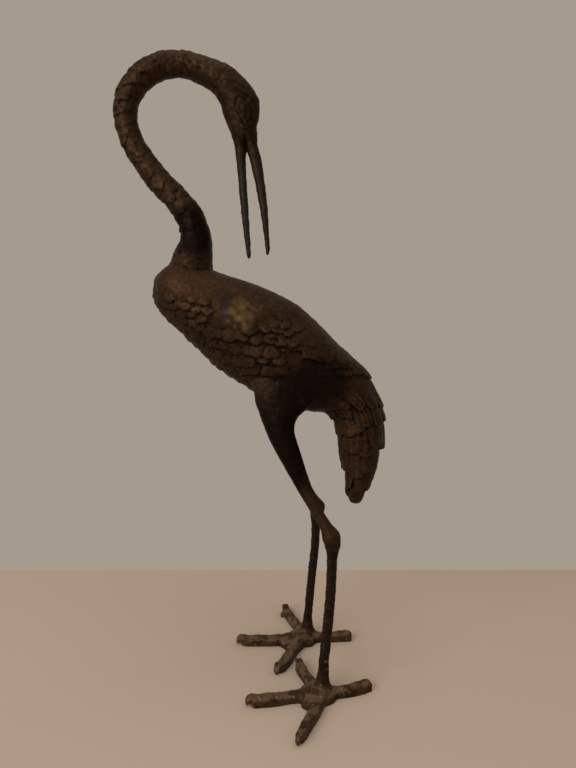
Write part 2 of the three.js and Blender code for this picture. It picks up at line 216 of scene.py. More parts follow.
# The upper edge of the feathered breast and side: [along the body, degrees from the ridge of the back]
FEATHER_EDGE = [
    [0, 180], [28, 140], [43, 108], [50, 94], [66, 88], [77, 98], [86, 109], [103, 113], [111, 103],
    [117, 82], [128, 74], [138, 54], [150, 40], [161, 46], [168, 70], [178, 88], [200, 112], [212, 180],
    [420, 180],
]
# The folded wing's lower edge, and a smaller edge on the wing above it, in the same way
WING_EDGE = [
    [112, 80], [161, 81], [188, 74], [213, 67], [226, 62], [238, 45], [254, 26],
]
COVERT_EDGE = [[150, 40], [163, 66], [176, 68], [185, 60], [196, 55], [206, 40]]
# Grooves between the wing's quills, from one place to another: [along, degrees, along, degrees]
QUILLS = [[200, 40, 213, 57], [206, 33, 220, 52], [213, 27, 224, 44]]
WING_STEP = 3.8                    # how far the wing's lower edge stands off the body

# Feathers: one row to the next, across a row, length, width, how far the free end stands off the skin
BREAST = {"pitch": 11.5, "spacing": 13.5, "long": 21, "wide": 15.5, "lip": 3.1}
BREAST_LEAN = math.radians(52)     # between the body's run and straight down
BREAST_REACH = 260                 # how far along the body they are laid
BODY_RADIUS = 50                   # their rows are spaced as on a body of this radius
COVERT_SIZE = 0.82                 # the feathers on the wing against those on the breast
NAPE = 88                          # where the neck's feathers start, along head and neck
RUFF_PITCH = 9.4                   # one row of the neck's feathers to the next
# Tail plumes on one side: [where it ends along the body, degrees from the ridge of the back, width]
PLUMES = [
    [288, 47, 18], [285, 79, 14], [291, 118, 16], [291, 12, 18], [292, 156, 16], [279, 100, 13],
    [306, 10, 17], [308, 47, 16], [305, 76, 13], [315, 118, 17], [316, 151, 16], [311, 98, 12],
    [340, 20, 21], [343, 84, 19], [337, 118, 22], [346, 166, 17], [333, 54, 19],
    [377, 11, 21], [368, 104, 24], [360, 152, 19], [363, 62, 22],
    [386, 92, 18], [384, 146, 15], [388, 36, 18],
]
# The last feathers of the back and wings, which end over the tail's root
BACK_ENDS = [[262, 4, 20], [259, 23, 17], [251, 39, 18], [243, 55, 17], [236, 68, 14]]
TAIL_TIP = {"place": (77, 0, 229), "sizes": (5.5, 7, 7.5), "tip": -0.5}
# Where forms melt into one another in the side view: [x, z, half length, half height, passes of smoothing]
BLENDS = [[-50, 652, 26, 13, 16], [4, 362, 36, 31, 60]]
ANKLE_BLEND = {"reach": 54, "passes": 60}

# Carved lines, [x, z] in the side view, the same on both sides
BROW_FOLD = [(-73, 721), (-67, 719), (-59, 717), (-52, 712), (-46, 707), (-42, 700)]
LID_FOLD = [(-71, 709), (-65, 708), (-59, 706), (-53, 703), (-48, 700)]
EYE_ALMOND = [(-56, 700), (-59, 698), (-61, 690), (-60, 684), (-56, 679), (-53, 671), (-50, 668), (-47, 671),
              (-43, 675), (-42, 683), (-44, 689), (-49, 696), (-56, 700)]
INNER_LID = [(-57, 697), (-57.5, 690), (-56, 684), (-53, 680)]
MOUTH_SLOT = [(-51, 657), (-50.3, 651), (-49.5, 645)]
# Each carved line, how deep it is cut, and its half width. The brow fold stands up, so its depth is below 0
CARVING = [(BROW_FOLD, -0.7, 2.4), (LID_FOLD, 0.9, 3.4), (EYE_ALMOND, 0.7, 1.4), (INNER_LID, 0.6, 1.0),
           (MOUTH_SLOT, 2.0, 1.5)]
EYE_RIM = {"height": 0.4, "outside": 2.6, "width": 1.2}
PUPIL = {"depth": 1.1, "width": 1.6}
EYE = (-52.5, 12.4, 687)
EYEBALL = (4.6, 4.6, 5.2)          # its half sizes
BROW = (-57, 10.7, 709.5)
BROW_RIDGE = (18, 6.2, 3.8)        # its half sizes
BROW_TIP = math.radians(38)
# Sizes of the random lumps: coarse and fine ones in the cast skin, cloudy ones in the edges of its stains
COARSE, FINE, CLOUDY = 7.5, 3.2, 8.0

# Painted shade in the side view, darker where the lower neck, the flank under the wing, the thighs, the belly
# and the cheek lie in shade: [x, z, half length, half height, share]
PAINTED_SHADE_PLACES = [[-110, 548, 40, 36, 1.0], [38, 371, 42, 32, 0.9], [-6, 300, 40, 95, 1.0], [-60, 425, 60, 22, 0.3],
        [-48, 684, 46, 62, 0.45]]
# The golden rubbed place and the purplish smear beside it: [x, z], [half length, half height]
RUBBED = [(-52, 450), (24, 17)]
SMEAR = [(-72, 456), (5.5, 20)]
# Height of the bill's tip, and of its middle, up to which it has verdigris
BILL_TIP = 508
BILL_MIDDLE = 610
# The finishes and painted shades, as red, green and blue
FINISH = {
    "dark brown": (0.038, 0.0187, 0.0092),
    "brown": (0.058, 0.029, 0.0140),
    # painted shade on what faces down and away from the lamp side
    "painted shade facing away": (0.029, 0.0155, 0.0085),
    "shin": (0.015, 0.0100, 0.0090),
    "worn edge": (0.090, 0.052, 0.029),
    # painted shade for the places of the side view that lie in shade
    "painted_shade": (0.0046, 0.0023, 0.0013),
    # darker patina and painted shade in crevices and hollows
    "crevice": (0.007, 0.0042, 0.0028),
    "hollow": (0.008, 0.0048, 0.0033),
    "rubbed": (0.145, 0.095, 0.038),
    "smear": (0.024, 0.014, 0.026),
    "bill": (0.026, 0.018, 0.017),
    "verdigris": (0.018, 0.036, 0.031),
    "dust": (0.125, 0.078, 0.045),
    "lime": (0.34, 0.29, 0.22),
}

# The setting: a floor that ends a little behind the bird, and one even tone beyond it
FLOOR_FRONT = -2200
FLOOR_END = 307.5
FLOOR_WIDTH = 6000
FLOOR_COLOUR = (0.62, 0.52, 0.43)
ROOM_COLOUR = (1.0, 0.86, 0.72)
ROOM_LIGHT = 0.38
# Lamps, in metres and watts: name, place, where it points, size, power
LAMPS = [
    ("window", (-1.7, -2.3, 1.5), (0.1, 0.2, 0.4), 2.0, 48),
    ("ceiling", (0.1, -0.4, 2.2), (0, 0, 0.2), 1.4, 6),
]
LAMP_COLOUR = (1.0, 0.94, 0.86)
# The photograph's camera, as its perspective gives it, with its focal length in pixels
CAMERA_PLACE = np.array([0, -736, 430.6])
CAMERA_DIP = 5.14
FOCAL_LENGTH = 600
PHOTO_HEIGHT = 768
FILM_HEIGHT = 36


def read_points(mesh):
    """A mesh's points as rows of x, y, z."""
    flat = np.empty(len(mesh.vertices) * 3)
    mesh.vertices.foreach_get("co", flat)
    return flat.reshape(-1, 3)


def write_points(mesh, points):
    """Moves a mesh's points to rows of x, y, z."""
    mesh.vertices.foreach_set("co", np.asarray(points, float).ravel())
    mesh.update()


def fade(value, low, high):
    """0 below low, 1 above high, smooth between."""
    t = np.clip((np.asarray(value, float) - low) / (high - low), 0, 1)
    return t * t * (3 - 2 * t)


def read_off(pairs, value):
    """The second value of a list of pairs, at any first value."""
    return np.interp(value, *zip(*pairs))


def between(rows, times):
    """Rows at times from 0 to 1, on the smooth curve through the given rows."""
    place = np.clip(times, 0, 1) * (len(rows) - 1)
    first = np.minimum(place.astype(int), len(rows) - 2)
    f = (place - first)[:, None]
    a, b, c, d = (rows[np.clip(first + k, 0, len(rows) - 1)] for k in (-1, 0, 1, 2))
    bend = (2 * a - 5 * b + 4 * c - d) * f ** 2
    twist = (3 * b - a - 3 * c + d) * f ** 3
    return b + ((c - a) * f + bend + twist) / 2


def square_sections(line):
    """Sections square to a middle line of [x, y, z, half depth, half width]."""
    sections = []
    for k, (x, y, z, depth, width) in enumerate(line):
        before, after = line[max(k - 1, 0)], line[min(k + 1, len(line) - 1)]
        run = Vector((after[0] - before[0], after[2] - before[2])).normalized()
        over = Vector((-run.y, run.x)) * depth
        sections.append([x + over.x, z + over.y, x - over.x, z - over.y, width, y])
    return sections


class Loft:
    """A smooth form through sections of [top x, z, bottom x, z, half width, y]."""

    def __init__(self, sections):
        """Measures the form, so that places on it are given by how far along it they lie."""
        self.sections = np.array([list(s) + [0.0] * (6 - len(s)) for s in sections], float)
        self.times = np.linspace(0, 1, 301)
        rows = between(self.sections, self.times)
        steps = np.linalg.norm(np.diff((rows[:, 0:2] + rows[:, 2:4]) / 2, axis=0), axis=1)
        self.marks = np.concatenate([[0], np.cumsum(steps)])
        self.length = self.marks[-1]

    def rows(self, along):
        """Sections at places along the form."""
        return between(self.sections, np.interp(np.atleast_1d(along), self.marks, self.times))

    def surface(self, along, angle, lift=0.0, boxy=1.0, spread=1.0):
        """Points at angles round the form, lifted off it. Angle 0 is the top and 90 degrees is +Y."""
        rows = self.rows(along)
        zero = np.zeros(len(rows))
        up = np.stack([rows[:, 0] - rows[:, 2], zero, rows[:, 1] - rows[:, 3]], 1) / 2
        side = np.stack([zero, np.abs(rows[:, 4]), zero], 1)
        middle = np.stack([(rows[:, 0] + rows[:, 2]) / 2, rows[:, 5], (rows[:, 1] + rows[:, 3]) / 2], 1)
        c, s = np.cos(angle), np.sin(angle)
        outward = up * (c * np.abs(rows[:, 4]))[:, None] + side * (s * np.linalg.norm(up, axis=1))[:, None]
        outward /= np.linalg.norm(outward, axis=1)[:, None] + 1e-9
        round_c, round_s = (np.sign(v) * np.abs(v) ** boxy * spread for v in (c, s))
        return middle + up * round_c[:, None] + side * round_s[:, None] + outward * np.reshape(lift, (-1, 1))

    def girth(self, along, angle):
        """Arc length for one radian round the form at a place."""
        rows = self.rows(along)
        depth = np.hypot(rows[:, 0] - rows[:, 2], rows[:, 1] - rows[:, 3]) / 2
        return np.hypot(depth * np.sin(angle), rows[:, 4] * np.cos(angle)) + 0.1

    def hang(self, along):
        """How far straight down lies from the form's own run, turning towards its top."""
        before, here, after = self.rows([along - 1, along, along + 1])
        run = (after[:4] - before[:4]).reshape(2, 2).sum(0)
        top = here[:2] - here[2:4]
        return math.atan2(-top[1] / np.linalg.norm(top), -run[1] / np.linalg.norm(run))


def ball(around, down):
    """A plain round blank, kept as a mesh, to be bent into place."""
    bm = bmesh.new()
    bmesh.ops.create_uvsphere(bm, u_segments=around, v_segments=down, radius=1)
    mesh = bpy.data.meshes.new("blank")
    bm.to_mesh(mesh)
    bm.free()
    return mesh


def pour(casting, shape, points):
    """Adds a blank shape to the casting, with its points moved."""
    write_points(shape, points)
    casting.from_mesh(shape)
    bpy.data.meshes.remove(shape)


class Skin:
    """The skin of a loft as a fine net of points, on which feathers are laid as raised shapes."""

    def __init__(self, loft, around, down):
        """Makes a net with so many points around and down the form, and no feathers yet."""
        self.loft = loft
        self.net = ball(around, down)
        points = read_points(self.net)
        polar = np.arccos(np.clip(points[:, 2], -1, 1))
        self.spread = np.where(np.sin(polar) < 1e-5, 0, 1)
        self.angle = np.arctan2(points[:, 1], points[:, 0])
        self.along = polar / math.pi * loft.length
        self.down = np.degrees(np.abs(self.angle))
        self.base = np.zeros(len(points))
        self.lift = np.zeros(len(points))

    def lay(self, along, angle, size, turn=0.0, lip=2.0, root=-1.0, blunt=2.4, dome=0.6, quill=0.0,
            ragged=0.0, twist=0.0):
        """Lays one feather: its root is under the skin, and its free end stands off the skin by the lip."""
        long, wide = size
        ahead = self.along - along
        aside = ((self.angle - angle + math.pi) % (2 * math.pi) - math.pi) * self.loft.girth(along, angle)[0]
        near = np.flatnonzero((np.abs(ahead) < long) & (np.abs(aside) < long))
        ahead, aside = ahead[near], aside[near]
        p = (ahead * math.cos(turn) + aside * math.sin(turn)) / (long / 2)
        q = (aside * math.cos(turn) - ahead * math.sin(turn)) / (wide / 2)
        round_it = np.arctan2(q, p)
        uneven = np.sin(3 * round_it + twist) + 0.8 * np.sin(5 * round_it - 3 * twist)
        inside = np.abs(p) ** blunt + np.abs(q) ** blunt < 1 + ragged * uneven
        height = self.base[near] + root + (lip - root) * (p + 1) / 2 - dome * q ** 2
        height += quill * (np.exp(-(q / 0.2) ** 2) - 0.7 * np.abs(np.sin(q * math.pi * 1.7)))
        self.lift[near[inside]] = np.maximum(self.lift[near[inside]], height[inside])

    def pour(self, casting, boxy=1.0, flat_sole=False, turn=0.0, shift=(0, 0)):
        """Adds the finished skin to the casting, turned and shifted over the ground."""
        placed = self.loft.surface(self.along, self.angle, self.lift * self.spread, boxy, self.spread)
        if flat_sole:
            placed[:, 2] = np.maximum(placed[:, 2], 0)
        placed = placed @ np.array(Euler((0, 0, turn)).to_matrix()).T + [*shift, 0]
        pour(casting, self.net, placed)


def add_pebble(casting, place, sizes, tip=0.0):
    """Adds a stretched ball, tipped in the side view and never below the ground."""
    shape = ball(36, 18)
    turn = np.array(Euler((0, tip, 0)).to_matrix())
    placed = read_points(shape) * sizes @ turn.T + place
    placed[:, 2] = np.maximum(placed[:, 2], 0)
    pour(casting, shape, placed)


def lay_breast(skin, draw, finer, wanted):
    """Rows of rounded feathers that hang straight down, small at the breast and larger on the side."""
    lean = BREAST_LEAN
    places = np.arange(0, float(BREAST_REACH))
    growth = (0.75 + 0.3 * fade(places, 20, 160)) * finer
    stretched = np.concatenate([[0], np.cumsum(1 / growth[:-1])])
    # More rows and steps than the side has room for: those that fall beside it are passed over
    for side in (-1, 1):
        for row in range(-10, 60):
            for step in range(-40, 50):
                across = (step + 0.5 * (row % 2)) * BREAST["spacing"]
                ahead = row * BREAST["pitch"] * math.cos(lean) - across * math.sin(lean)
                down = row * BREAST["pitch"] * math.sin(lean) + across * math.cos(lean)
                if not 3 < ahead < stretched[-1]:
                    continue
                along = np.interp(ahead, stretched, places)
                grown = np.interp(along, places, growth)
                angle = down * grown / BODY_RADIUS
                if not 0.3 < angle < math.pi or not wanted(along, math.degrees(angle)):
                    continue
                size = [BREAST[name] * grown * draw.uniform(0.85, 1.2) for name in ("long", "wide")]
                loose = draw.uniform(-2.6, 2.6) * grown
                skin.lay(along + loose, side * (angle + draw.uniform(-0.055, 0.055)), size,
                         side * (lean + draw.uniform(-0.25, 0.25)), root=-1.4, blunt=draw.uniform(2.1, 3.0),
                         lip=BREAST["lip"] * draw.uniform(0.7, 1.25) * min(1, grown * 1.1),
                         dome=draw.uniform(0.2, 0.9), ragged=0.14, twist=draw.uniform(0, 6))


def on_side(along, degrees):
    """Whether a feather of the breast or side has its place here."""
    return degrees > read_off(FEATHER_EDGE, along) and not on_coverts(along, degrees)


def on_coverts(along, degrees):
    """Whether a smaller feather of the wing has its place here."""
    return 118 < along < 176 and read_off(FEATHER_EDGE, along) < degrees < 82


def raise_wing(skin):
    """Folded wings: each swells out of the shoulder to a step along its lower edge, with a few quills."""
    edge = read_off(WING_EDGE, skin.along) + 2.2 * np.sin(skin.along / 4.3) + 1.6 * np.sin(skin.along / 2.3)
    front, rear = WING_EDGE[0][0], WING_EDGE[-1][0]
    swell = fade(skin.along, front, front + 75) * fade(skin.down / edge, 0.1, 0.95)
    on_wing = (skin.down < edge) & (skin.along > front) & (skin.along < rear)
    from_edge = np.radians(edge - skin.down) * 45
    rim = 0.7 * np.exp(-((from_edge - 2) / 2) ** 2) * fade(skin.along, 185, 205)
    small_edge = read_off(COVERT_EDGE, skin.along)
    small = 1.0 * (skin.down < small_edge) * fade(skin.down / small_edge, 0.5, 1) * fade(skin.along, 152, 172)
    small *= 1 - fade(skin.along, 188, 204)
    height = (WING_STEP * swell + rim) * (1 - fade(skin.along, 226, 250)) + small
    for along, down, to_along, to_down in QUILLS:
        start, run = np.array([along, down * 0.8]), np.array([to_along - along, (to_down - down) * 0.8])
        flat = np.stack([skin.along, skin.down * 0.8], 1) - start
        t = np.clip(flat @ run / (run @ run), 0, 1)
        height -= 0.55 * np.exp(-(np.linalg.norm(flat - t[:, None] * run, axis=1) / 1.2) ** 2)
    skin.base = np.where(on_wing, height, 0)
    skin.lift = np.where(on_wing, np.maximum(skin.lift, height), skin.lift)


def lay_tail(skin, draw):
    """Broad plumes with blunt, uneven ends, the far side's a little otherwise than the near side's."""
    skin.lift -= 2.0 * fade(skin.along, 266, 288) * (1 - fade(skin.along, 376, 388))
    for side, loose in ((-1, 1), (1, 4)):
        for end, down, wide in BACK_ENDS:
            angle = side * math.radians(down + draw.uniform(-1, 1) * loose)
            skin.lay(end - 15, angle, (30, wide * 1.25), -side * 0.35 * fade(down, 10, 40), lip=2.8, root=0,
                     blunt=2.2, dome=0.3, ragged=0.2, twist=draw.uniform(0, 6))
        for end, down, wide in PLUMES:
            stop = end + draw.uniform(-1, 1) * loose
            angle = side * math.radians(down + draw.uniform(-1.5, 1.5) * loose)
            long = min(draw.uniform(42, 52), end - 240)
            skin.lay(stop - long / 2, angle, (long, wide * 1.3), draw.uniform(-0.14, 0.14),
                     lip=draw.uniform(2.8, 4.8), root=-2.5, blunt=draw.uniform(2.8, 4.5),
                     dome=draw.uniform(0.8, 1.8), quill=draw.uniform(0.1, 0.6), ragged=0.15,
                     twist=draw.uniform(0, 6))


def add_body(casting, draw):
    """Body and tail in one, with all their feathers."""
    skin = Skin(Loft(BODY), *BODY_NET)
    lay_breast(skin, draw, 1.0, on_side)
    lay_tail(skin, draw)
    raise_wing(skin)
    lay_breast(skin, draw, COVERT_SIZE, on_coverts)
    skin.pour(casting)
    add_pebble(casting, **TAIL_TIP)


def add_head_and_neck(casting, draw):
    """Head and neck in one, with blocky, worn feathers from the nape down, small at the neck's root."""
    neck = square_sections([[x, 0, z, radius, radius] for x, z, radius in NECK])
    skin = Skin(Loft([section + [0] for section in HEAD] + neck), *NECK_NET)
    loft = skin.loft
    row = 0
    # Stretches of the neck: from and to along it, one row to the next, feathers in a row, and how bold
    for start, end, pitch, count, strength in (
        (NAPE - 4, NAPE + 60, RUFF_PITCH, 6, 0.75),
        (NAPE + 60, loft.length - 90, RUFF_PITCH, 5, 1.0),
        (loft.length - 90, loft.length - 58, RUFF_PITCH, 6, 0.4),
        (loft.length - 58, loft.length - 36, 5.6, 11, 0.8),
    ):
        for along in np.arange(start, end, pitch):
            row += 1
            hang = float(np.clip(loft.hang(along), -0.8, 0.8))
            for k in range(count):
                angle = (k + 0.5 * (row % 2)) / count * 2 * math.pi + draw.uniform(-0.2, 0.2)
                inner = fade(math.cos(angle), -0.1, 0.6)
                lip = strength * draw.uniform(0.8, 2.3) * (1 - 0.7 * inner)
                size = (pitch * draw.uniform(1.7, 2.6),
                        2 * math.pi * loft.girth(along, angle)[0] / count * draw.uniform(0.85, 1.25))
                skin.lay(along + draw.uniform(-0.22, 0.22) * pitch, angle, size,
                         -hang * math.sin(angle) + draw.uniform(-0.2, 0.2),
                         lip=lip, root=-0.6, blunt=draw.uniform(3, 6), dome=draw.uniform(0, 0.5), ragged=0.25,
                         twist=draw.uniform(0, 6))
    skin.pour(casting)


def add_bill(casting):
    """Both halves of the open bill."""
    for sections in (UPPER_MANDIBLE, LOWER_MANDIBLE):
        skin = Skin(Loft(sections), *BILL_NET)
        skin.lift += REMESH_LOSS * fade(skin.along, 40, 90)
        skin.pour(casting)


def add_eye(casting, side):
    """An eyeball and the brow over it, on one side of the head."""
    x, y, z = EYE
    add_pebble(casting, (x, side * y, z), EYEBALL)
    x, y, z = BROW
    add_pebble(casting, (x, side * y, z), BROW_RIDGE, BROW_TIP)


def add_leg(casting, line):
    """Leg with small overlapping plates down the front of its shin."""
    skin = Skin(Loft(square_sections(line)), *LEG_NET)
    start, end = SHIN["start"], skin.loft.length
    shin = fade(skin.along, start, start + 20) * (1 - fade(skin.along, end - 14, end - 4))
    front = fade(-np.cos(skin.angle), 0.1, 0.8)
    uneven = 0.6 + 0.4 * np.sin(skin.along * 0.37)
    skin.lift += SHIN["lip"] * shin * front * uneven * np.mod(skin.along / SHIN["plate"], 1.0)
    skin.pour(casting)


def add_flat_soled(casting, ankle, rows, height, finish):
    """Adds a toe or a web: flat under its sole and square in section, from the ankle along its rows."""
    ankle = Vector(ankle)
    run = Vector(rows[-1][:2]) - ankle
    ahead = run.normalized()
    sections = [[0, height, 0, 1, 0, 0], [4, height + 3, 4, -2, rows[0][2], 0]]
    for x, y, width in rows:
        offset = Vector((x, y)) - ankle
        along = offset.dot(ahead)
        sections.append([along, height, along, -2, width, ahead.cross(offset)])
    last = sections.pop()
    skin = Skin(Loft(sections + finish(run.length, last)), *TOE_NET)
    reach = skin.along / skin.loft.length
    upper = fade(np.cos(skin.angle), 0, 0.7)
    for place in TOE_PADS:
        skin.lift += 0.9 * upper * np.exp(-((reach - place) * run.length / 5) ** 2)
    skin.pour(casting, 0.5, True, math.atan2(run.y, run.x), ankle)


def claw_end(reach, last):
    """A toe ends in a short claw that bends down to the ground with a notch behind it."""
    top, under, width = last[1], last[3], last[4]
    return [
        [reach - 9, top + 0.8, reach - 9.4, under, width, 0],
        [reach - 5.5, top + 0.6, reach - 7.2, 3.2, width * 0.92, 0],
        [reach - 2.6, top - 1.6, reach - 5.6, 4.8, width * 0.8, 0],
        [reach - 1, top - 5.5, reach - 4.2, 3.2, width * 0.65, 0],
        [reach - 2, 0.1, reach - 2, 0.1, 0, 0],
    ]


def blunt_end(reach, last):
    """A toe ends short and square."""
    top, under, width = last[1], last[3], last[4]
    return [
        [reach - 5, top + 0.8, reach - 5, under, width, 0],
        [reach - 1, top - 0.5, reach - 1, under, width * 0.8, 0],
        [reach, top / 2, reach, top / 2, 0, 0],
    ]


def web_end(reach, last):
    """A web ends in a thin rounded edge."""
    top, under, width = last[1], last[3], last[4]
    return [[reach - 4, top - 1, reach - 4, under, width, 0], [reach, top / 2, reach, top / 2, 0, 0]]


def add_foot(casting, foot):
    """A foot: the palm, its toes, and the webs and lumps between them."""
    x, y = foot["ankle"]
    add_pebble(casting, (x + PALM_SHIFT, y, 0), PALM)
    for k, rows in enumerate(foot["toes"]):
        add_flat_soled(casting, foot["ankle"], rows, TOE_HEIGHT, blunt_end if k == BLUNT_TOE else claw_end)
    for web in foot["webs"]:
        add_flat_soled(casting, foot["ankle"], [[*web, WEB["half width"]]], WEB["height"], web_end)
    for nub in foot["nubs"]:
        add_pebble(casting, (*nub, NUB["height"]), NUB["sizes"])


def apply_modifier(piece, kind, **settings):
    """Runs one modifier on a piece and keeps its result as the mesh."""
    modifier = piece.modifiers.new(kind.lower(), kind)
    for name, value in settings.items():
        setattr(modifier, name, value)
    result = bpy.data.meshes.new_from_object(piece.evaluated_get(bpy.context.evaluated_depsgraph_get()))
    piece.modifiers.clear()
    old = piece.data
    piece.data = result
    bpy.data.meshes.remove(old)


def keep_largest_shell(mesh):
    """Deletes any small closed bubble that the remeshing leaves inside the casting."""
    bm = bmesh.new()
    bm.from_mesh(mesh)
    bm.verts.ensure_lookup_table()
    shell = [-1] * len(bm.verts)
    sizes = []
    for start in bm.verts:
        if shell[start.index] >= 0:
            continue
        number, size, waiting = len(sizes), 0, [start]
        shell[start.index] = number
        while waiting:
            vert = waiting.pop()
            size += 1
            for edge in vert.link_edges:
                other = edge.other_vert(vert)
                if shell[other.index] < 0:
                    shell[other.index] = number
                    waiting.append(other)
        sizes.append(size)
    biggest = sizes.index(max(sizes))
    extra = [vert for vert in bm.verts if shell[vert.index] != biggest]
    bmesh.ops.delete(bm, geom=extra, context="VERTS")
    bm.to_mesh(mesh)
    bm.free()


def distance_to_line(points, line):
    """Distance in the side view from points to a line of [x, z]."""
    nearest = np.full(len(points), 1e9)
    flat = points[:, [0, 2]]
    for start, end in zip(np.array(line[:-1], float), np.array(line[1:], float)):
        run = end - start
        t = np.clip((flat - start) @ run / (run @ run), 0, 1)
        nearest = np.minimum(nearest, np.linalg.norm(flat - start - t[:, None] * run, axis=1))
    return nearest


def vertex_normals(mesh):
    """A mesh's directions square to its surface, as rows of x, y, z."""
    flat = np.empty(len(mesh.vertices) * 3, np.float32)
    mesh.vertex_normals.foreach_get("vector", flat)
    return flat.reshape(-1, 3).astype(float)


def softened(mesh, passes):
    """A mesh's points in mm, after each has moved halfway to its neighbours' average, many times over."""
    soft = read_points(mesh) / MM
    edges = np.empty(len(mesh.edges) * 2, np.int32)
    mesh.edges.foreach_get("vertices", edges)
    a, b = edges.reshape(-1, 2).T
    count = np.bincount(a, minlength=len(soft)) + np.bincount(b, minlength=len(soft))
    for _ in range(passes):
        total = [np.bincount(a, side[b], len(soft)) + np.bincount(b, side[a], len(soft)) for side in soft.T]
        soft = (soft + np.stack(total, 1) / count[:, None]) / 2
    return soft


def hollowness(mesh, passes):
    """How far each point lies in a hollow, in mm, and below 0 on an edge: against its neighbours' average."""
    return np.einsum("ij,ij->i", softened(mesh, passes) - read_points(mesh) / MM, vertex_normals(mesh))


def patch(points, middle, sizes):
    """1 inside a soft-edged oval of the side view, and 0 outside it."""
    far = np.hypot((points[:, 0] - middle[0]) / sizes[0], (points[:, 2] - middle[1]) / sizes[1])
    return 1 - fade(far, 0.6, 1.15)


def blend_forms(mesh):
    """Melts the bill into the head, the thighs into the body, and the toes into the ankles."""
    points = read_points(mesh) / MM + BOX_MIDDLE
    sole = points[:, 2] < SOLE

    def ease(share, passes):
        """Softens the mesh by a share at each point, and keeps the soles on the ground."""
        moved = read_points(mesh) / MM
        moved += (softened(mesh, passes) - moved) * share[:, None]
        moved[sole, 2] = 0
        write_points(mesh, moved * MM)

    for x, z, long, high, passes in BLENDS:
        ease(patch(points, (x, z), (long, high)), passes)
    for foot in (LEFT_FOOT, RIGHT_FOOT):
        middle = np.array([foot["ankle"][0] + PALM_SHIFT, foot["ankle"][1], 0])
        far = np.linalg.norm((points - middle) * [1, 1, 0.8], axis=1)
        ease(1 - fade(far, ANKLE_BLEND["reach"] * 0.6, ANKLE_BLEND["reach"]), ANKLE_BLEND["passes"])


def lumps(points, size):
    """Smooth random lumps of a size, from about -1 to 1."""
    return np.array([noise.noise(Vector(point) / size) for point in points])


def carve_details(mesh):
    """Cuts the carved lines of the head into the casting and roughens its whole skin."""
    points = read_points(mesh) / MM + BOX_MIDDLE
    normals = vertex_normals(mesh)
    push = np.zeros(len(points))
    head = np.flatnonzero((points[:, 2] > 640) & (points[:, 0] > -84))
    place = points[head]
    for line, depth, width in CARVING:
        push[head] -= depth * np.exp(-(distance_to_line(place, line) / width) ** 2)
    outside = distance_to_line(place, EYE_ALMOND) - EYE_RIM["outside"]
    push[head] += EYE_RIM["height"] * np.exp(-(outside / EYE_RIM["width"]) ** 2)
    from_eye = (place[:, 0] - EYE[0]) ** 2 + (place[:, 2] - EYE[2]) ** 2
    push[head] -= PUPIL["depth"] * np.exp(-from_eye / PUPIL["width"] ** 2)
    coarse, fine = lumps(points, COARSE), lumps(points, FINE)
    low = 1 - fade(points[:, 2], 14, 36)
    leg = fade(points[:, 2], 36, 60) * (1 - fade(points[:, 2], 300, 350)) * (points[:, 0] < 52)
    neck = fade(points[:, 2], 545, 575) * (1 - fade(points[:, 0], -100, -84))
    rough = 0.5 - 0.25 * leg
    push += coarse * (rough - 0.1 * low + 0.25 * neck) + fine * (rough + 0.2 * low) * 0.7
    moved = points + normals * push[:, None]
    moved[points[:, 2] < SOLE, 2] = 0
    write_points(mesh, (moved - BOX_MIDDLE) * MM)


def store(mesh, name, values):
    """Keeps one value for each point of a mesh, for its finish."""
    mesh.attributes.new(name, "FLOAT", "POINT").data.foreach_set("value", np.asarray(values, np.float32))


def store_wear_and_painted_shade(mesh):
    """Keeps what the patina and the painted shade go by: hollows, what faces up towards the lamp side, the
    worn and stained places, and the places given painted shade.
    """
    points = read_points(mesh) / MM + BOX_MIDDLE
    near_side = points[:, 1] < 0
    low, high = points[:, 2] - BILL_TIP, points[:, 2] - BILL_MIDDLE
    bill = (points[:, 0] > -62) * (points[:, 0] < -20) * (low > 0)
    inner = fade(vertex_normals(mesh)[:, 0], -0.3, 0.4)
    cloudy = lumps(points, CLOUDY)
    nearly = points + np.outer(cloudy * 9, [1, 0, 1])
    # Painted shade: darker ovals, with cloudy edges, where the side view lies in shade
    painted_shade = [share * patch(nearly, (x, z), (long, high)) for x, z, long, high, share in PAINTED_SHADE_PLACES]
    # How far each point lies in a crevice or a broad hollow, for darker patina and painted shade there, and
    # for worn edges
    store(mesh, "crevice", hollowness(mesh, 5))
    store(mesh, "hollow", hollowness(mesh, 30))
    # What faces up towards the lamp side: it sets the painted shade on what faces away, and where dust lies
    store(mesh, "faces_up_to_lamp", vertex_normals(mesh) @ [-0.5, 0, 0.8])
    store(mesh, "painted_shade", np.max(painted_shade, axis=0))
    store(mesh, "rubbed", patch(nearly, *RUBBED) * near_side * (0.65 + 1.2 * cloudy))
    store(mesh, "smear", patch(points, *SMEAR) * near_side)
    store(mesh, "bill", bill * (1 - fade(points[:, 2], 632, 650)))
    store(mesh, "verdigris", bill * inner * (points[:, 0] < -43) * fade(low, 7, 20) * (1 - fade(high, 0, 25)))


